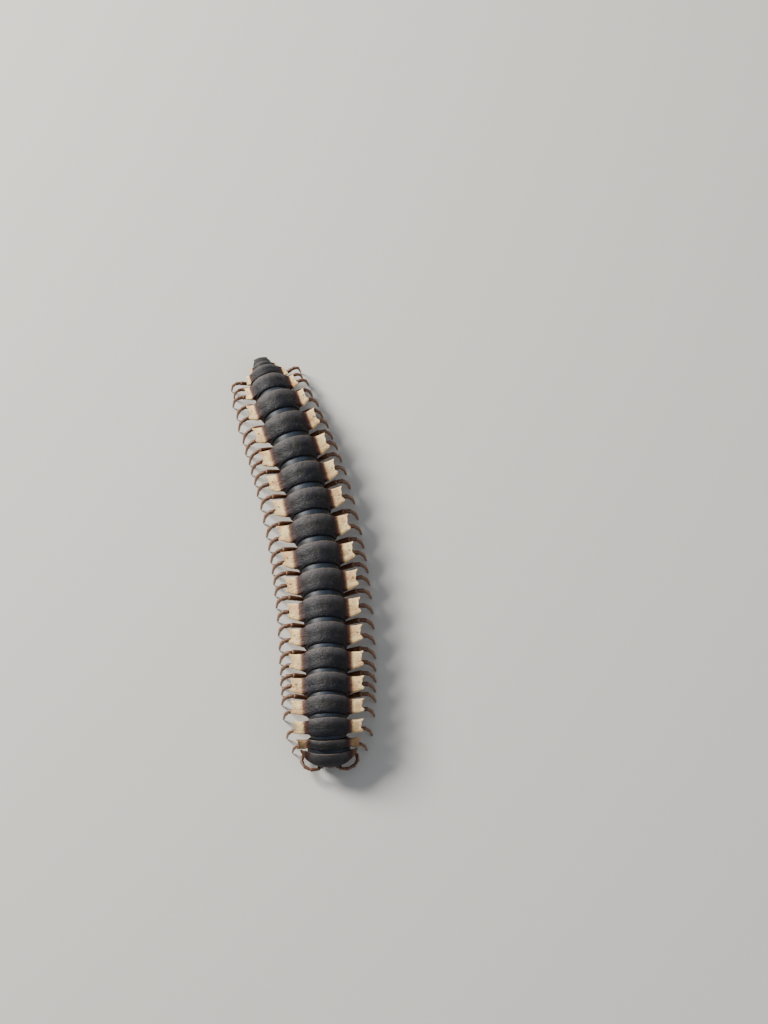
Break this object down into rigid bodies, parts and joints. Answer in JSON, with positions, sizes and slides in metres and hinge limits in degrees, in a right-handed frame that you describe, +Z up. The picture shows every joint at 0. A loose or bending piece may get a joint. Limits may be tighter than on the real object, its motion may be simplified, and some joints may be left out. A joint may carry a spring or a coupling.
{
  "type": "barydesmid millipede",
  "caption": "Life-size still model of a flat-backed millipede: dark domed body rings with bluish bands, tan side keels, reddish-brown legs, standing with a gentle bend towards the tail.",
  "frame": {"origin": "on the floor, under the middle of the model's box", "axes": "+Z up, head towards -Y, tail towards +Y and bending towards -X, animal's left side towards +X"},
  "size_m": [0.0256, 0.083, 0.01],
  "materials": {
    "dorsum": "charcoal leathery cuticle, finely granular, satin",
    "prozonites": "smooth bluish grey cuticle with a soft shine",
    "paranota": "cream to tan cuticle, satin",
    "head": "smooth dark brown cuticle",
    "legs": "reddish brown cuticle with a soft shine",
    "antennae": "reddish brown cuticle with fine short hairs"
  },
  "bodies": {
    "root": {"antenna_left": "antennae", "antenna_right": "antennae", "collum": "dorsum", "head": "head", "legs_left_02": "legs", "legs_left_03": "legs", "legs_left_04": "legs", "legs_left_05": "legs", "legs_left_06": "legs", "legs_left_07": "legs", "legs_left_08": "legs", "legs_left_09": "legs", "legs_left_10": "legs", "legs_left_11": "legs", "legs_left_12": "legs", "legs_left_13": "legs", "legs_left_14": "legs", "legs_left_15": "legs", "legs_left_16": "legs", "legs_left_17": "legs", "legs_left_18": "legs", "legs_right_02": "legs", "legs_right_03": "legs", "legs_right_04": "legs", "legs_right_05": "legs", "legs_right_06": "legs", "legs_right_07": "legs", "legs_right_08": "legs", "legs_right_09": "legs", "legs_right_10": "legs", "legs_right_11": "legs", "legs_right_12": "legs", "legs_right_13": "legs", "legs_right_14": "legs", "legs_right_15": "legs", "legs_right_16": "legs", "legs_right_17": "legs", "legs_right_18": "legs", "ring_02": "dorsum", "ring_03": "dorsum", "ring_04": "dorsum", "ring_05": "dorsum", "ring_06": "dorsum", "ring_07": "dorsum", "ring_08": "dorsum", "ring_09": "dorsum", "ring_10": "dorsum", "ring_11": "dorsum", "ring_12": "dorsum", "ring_13": "dorsum", "ring_14": "dorsum", "ring_15": "dorsum", "ring_16": "dorsum", "ring_17": "dorsum", "ring_18": "dorsum", "ring_19": "dorsum", "telson": "dorsum"}
  },
  "joints": []
}
